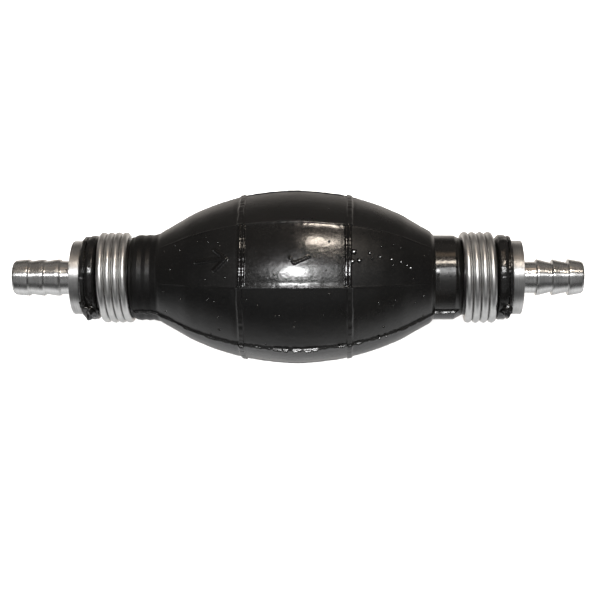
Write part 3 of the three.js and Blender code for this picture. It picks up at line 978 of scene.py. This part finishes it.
HOUSING = [
    (0, 3.25, 0.2), (0, 6.9, 0.25), (0.8, 6.9, 0.06), (0.8, 5.2, 0.1), (2.8, 5.2, 0.1), (2.8, 6.9, 0.06),
    (13.9, 6.9, 0.25), (13.9, 5.0, 0.1), (13.5, 5.0, 0.05), (13.5, 5.6, 0.05), (3.4, 5.6, 0.25), (3.4, 3.25, 0.12),
]
POPPET = [
    (3.75, 0, 0), (3.75, 1.6, 0.15), (4.8, 1.6, 0.1), (4.8, 4.5, 0.22), (6.0, 4.5, 0.3), (6.0, 0.9, 0.3),
    (12.9, 0.9, 0.2), (12.9, 0, 0),
]
SEAL = [(3.7, 1.9, 0.1), (3.7, 4.3, 0.15), (4.5, 4.4, 0.15), (4.5, 1.9, 0.1)]
GUIDE_ARM = math.radians(28)


def guide_keep(i, a):
    if i != 1:
        return True
    return (a - math.radians(-14)) % (2 * math.pi / 3) < GUIDE_ARM


for end, x0, clip_x, cart in (("inlet", -57.9, -43.6, 0), ("outlet", 44.0, 43.0, 1)):
    move = np.array([x0, 0.0])
    ring_t = np.linspace(0, 2 * math.pi, 24, endpoint=False)
    o_ring = np.stack([1.8 + 0.72 * np.cos(ring_t), 6.2 + 0.72 * np.sin(ring_t)], 1)
    place(lathe(end + "_cartridge_body", fillet(HOUSING) + move, ACETAL, 96), "pump_body", "valve_acetal", end + "_valve_housing")
    place(lathe(end + "_cartridge_o_ring", o_ring + move, NITRILE, 96), "pump_body", "seal_nitrile", end + "_valve_housing_o_ring")
    place(lathe(end + "_check_poppet", fillet(POPPET, closed=False) + move, ACETAL, 72), end + "_poppet", "valve_acetal", end + "_valve_poppet")
    place(lathe(end + "_check_seal", fillet(SEAL) + move, NITRILE, 72), end + "_poppet", "seal_nitrile", end + "_poppet_seal")
    spring = wound(end + "_check_spring", x0 + 6.58, x0 + 10.82, 2.6, 3.5, 0.0, 0.27, SPRING, per_turn=48, sides=14)
    place(spring, "pump_body", "spring_steel", end + "_valve_spring")
    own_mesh(spring)
    guide = polar_plate(end + "_stem_guide", [1.2, 2.3, 4.4, 5.3], 180, guide_keep, x0 + 11.4, x0 + 13.2, ACETAL)
    place(guide, "pump_body", "valve_acetal", end + "_valve_guide")
    clip = polar_plate(
        end + "_snap_ring", [5.9, 7.4], 200, lambda i, a: not (math.radians(252) < a < math.radians(288)),
        clip_x, clip_x + 0.6, SPRING, 0.06,
    )
    place(clip, "pump_body", "spring_steel", end + "_retaining_ring")

# ------------------------------------------------------------------ floor, light and camera

FLOOR_Z = float(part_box("bulb_body")[0][2])


def floor():
    me = bpy.data.meshes.new("floor")
    s = 3.0
    me.from_pydata([(-s, -s, 0), (s, -s, 0), (s, s, 0), (-s, s, 0)], [], [(0, 1, 2, 3)])
    ob = bpy.data.objects.new("floor", me)
    ob.location = (0, 0, FLOOR_Z - 0.0003)
    m = Nodes("floor_paper")
    fine = m.noise(90, 4, 0.6)
    me.materials.append(
        m.set(
            Base_Color=m.ramp(fine, [(0.3, (0.86, 0.86, 0.855)), (0.7, (0.88, 0.88, 0.875))]),
            Roughness=0.9,
            Specular_IOR_Level=0.1,
        )
    )
    ob.visible_glossy = False
    bpy.context.scene.collection.objects.link(ob)


floor()

YAW, ELEVATION = math.radians(1.7), math.radians(75.2)
DISTANCE = 0.400
SCALE = 0.2877 * MM  # metres to a pixel at the axis
k = math.cos(YAW)
toward = Vector((math.sin(YAW), -math.cos(ELEVATION) * k, math.sin(ELEVATION) * k))
across = (Vector((1, 0, 0)) - toward * toward.x).normalized()
upward = toward.cross(across)
aim = across * (300 - 296.3) * SCALE - upward * (300 - 277.4) * SCALE
cam_data = bpy.data.cameras.new("camera")
cam = bpy.data.objects.new("camera", cam_data)
bpy.context.scene.collection.objects.link(cam)
eye = toward * DISTANCE + aim
cam.matrix_world = Matrix(
    (
        (across.x, upward.x, toward.x, eye.x),
        (across.y, upward.y, toward.y, eye.y),
        (across.z, upward.z, toward.z, eye.z),
        (0, 0, 0, 1),
    )
)
cam_data.sensor_width = 36
cam_data.lens = 36 * DISTANCE / (600 * SCALE)
cam_data.clip_start, cam_data.clip_end = 0.01, 20
bpy.context.scene.camera = cam


def direction(image_up, image_right=0.0):
    """A direction seen from the object: degrees up and right from the camera in the picture."""
    u, r = math.radians(image_up), math.radians(image_right)
    return (toward * math.cos(u) * math.cos(r) + upward * math.sin(u) * math.cos(r) + across * math.sin(r)).normalized()


def softbox(name, way, distance, wide, tall, radiance, colour=(1, 1, 1)):
    """An area light that faces the object, with its long side along the pump."""
    ld = bpy.data.lights.new(name, "AREA")
    ld.shape = "RECTANGLE"
    ld.size, ld.size_y = wide, tall
    ld.energy = radiance * math.pi * wide * tall
    ld.color = colour
    ob = bpy.data.objects.new(name, ld)
    z = way
    x = (Vector((1, 0, 0)) - z * z.x).normalized()
    y = z.cross(x)
    p = way * distance
    ob.matrix_world = Matrix(((x.x, y.x, z.x, p.x), (x.y, y.y, z.y, p.y), (x.z, y.z, z.z, p.z), (0, 0, 0, 1)))
    bpy.context.scene.collection.objects.link(ob)
    return ob


def oval(lamp):
    lamp.data.shape = "ELLIPSE"
    lamp.data.energy *= math.pi / 4


oval(softbox("key_lamp", direction(16.3, -2.5), 2.0, 0.60, 0.20, 52.0))
oval(softbox("key_spill", direction(17.2, -0.5), 2.0, 1.02, 0.42, 7.0))
oval(softbox("warm_lamp", direction(41.0, 10), 0.90, 0.19, 0.100, 48.0, (1.0, 0.88, 0.75)))
softbox("warm_bounce", direction(63.0, 4), 1.2, 0.34, 0.20, 1.8, (1.0, 0.72, 0.5))
fill = softbox("overhead_fill", Vector((0, -0.25, 1)).normalized(), 1.3, 1.9, 1.9, 6.5)
fill.visible_glossy = False

world = bpy.data.worlds.new("studio")
bpy.context.scene.world = world
world.use_nodes = True
wt = world.node_tree


def wmath(op, a, b=None, c=None):
    n = wt.nodes.new("ShaderNodeMath")
    n.operation = op
    for i, v in enumerate((a, b, c)):
        if v is None:
            continue
        if isinstance(v, (int, float)):
            n.inputs[i].default_value = v
        else:
            wt.links.new(v, n.inputs[i])
    return n.outputs[0]


tc = wt.nodes.new("ShaderNodeTexCoord")
sep = wt.nodes.new("ShaderNodeSeparateXYZ")
wt.links.new(tc.outputs["Generated"], sep.inputs["Vector"])


def band(stops):
    """Grey by height: stops are (z, level) from straight down to straight up."""
    r = wt.nodes.new("ShaderNodeValToRGB")
    e = r.color_ramp.elements
    pos = lambda z: (z + 1) / 2
    e[0].position, e[0].color = pos(stops[0][0]), (stops[0][1],) * 3 + (1,)
    e[1].position, e[1].color = pos(stops[-1][0]), (stops[-1][1],) * 3 + (1,)
    for z, v in stops[1:-1]:
        x = e.new(pos(z))
        x.color = (v, v, v, 1)
    wt.links.new(height, r.inputs["Fac"])
    return r.outputs["Color"]


# pale low down, dim higher up, and a little warm behind
height = wmath("MULTIPLY_ADD", sep.outputs["Z"], 0.5, 0.5)
front = band([(-1, 0.74), (-0.8, 0.78), (-0.5, 1.02), (-0.32, 1.08), (-0.14, 0.56), (0, 0.32), (0.10, 0.13), (0.28, 0.09), (0.44, 0.11), (0.62, 0.33), (0.85, 0.34), (1, 0.16)])
rear = band([(-1, 0.90), (-0.62, 0.88), (-0.38, 0.22), (-0.15, 0.10), (0, 0.17), (0.2, 0.26), (0.55, 0.23), (0.85, 0.17), (1, 0.14)])
behind = wt.nodes.new("ShaderNodeMapRange")
behind.interpolation_type = "SMOOTHSTEP"
for k, v in (("From Min", -0.22), ("From Max", 0.22), ("To Min", 0.0), ("To Max", 1.0)):
    behind.inputs[k].default_value = v
wt.links.new(sep.outputs["Y"], behind.inputs["Value"])
warm = wt.nodes.new("ShaderNodeMix")
warm.data_type, warm.blend_type = "RGBA", "MULTIPLY"
warm.inputs["Factor"].default_value = 1.0
wt.links.new(rear, warm.inputs["A"])
warm.inputs["B"].default_value = (1.0, 0.93, 0.86, 1)
room = wt.nodes.new("ShaderNodeMix")
room.data_type = "RGBA"
wt.links.new(behind.outputs["Result"], room.inputs["Factor"])
wt.links.new(front, room.inputs["A"])
wt.links.new(warm.outputs["Result"], room.inputs["B"])
# the sides are dim above the bench
across_ = wt.nodes.new("ShaderNodeMapRange")
across_.interpolation_type = "SMOOTHSTEP"
for k, v in (("From Min", 0.3), ("From Max", 0.8), ("To Min", 0.0), ("To Max", 0.62)):
    across_.inputs[k].default_value = v
wt.links.new(wmath("ABSOLUTE", sep.outputs["X"]), across_.inputs["Value"])
above = wt.nodes.new("ShaderNodeMapRange")
above.interpolation_type = "SMOOTHSTEP"
for k, v in (("From Min", -0.05), ("From Max", 0.35), ("To Min", 0.0), ("To Max", 1.0)):
    above.inputs[k].default_value = v
wt.links.new(sep.outputs["Z"], above.inputs["Value"])
dim = wmath("SUBTRACT", 1.0, wmath("MULTIPLY", across_.outputs["Result"], above.outputs["Result"]))
sides = wt.nodes.new("ShaderNodeVectorMath")
sides.operation = "SCALE"
wt.links.new(room.outputs["Result"], sides.inputs[0])
wt.links.new(dim, sides.inputs["Scale"])
# the backdrop itself is plain and pale
back = wt.nodes.new("ShaderNodeMix")
back.data_type = "RGBA"
back.inputs["B"].default_value = (0.93, 0.93, 0.925, 1)
wt.links.new(sides.outputs["Vector"], back.inputs["A"])
wt.links.new(wt.nodes.new("ShaderNodeLightPath").outputs["Is Camera Ray"], back.inputs["Factor"])
wt.links.new(back.outputs["Result"], wt.nodes["Background"].inputs["Color"])
wt.nodes["Background"].inputs["Strength"].default_value = 1.0

bpy.context.scene.view_settings.view_transform = "Standard"

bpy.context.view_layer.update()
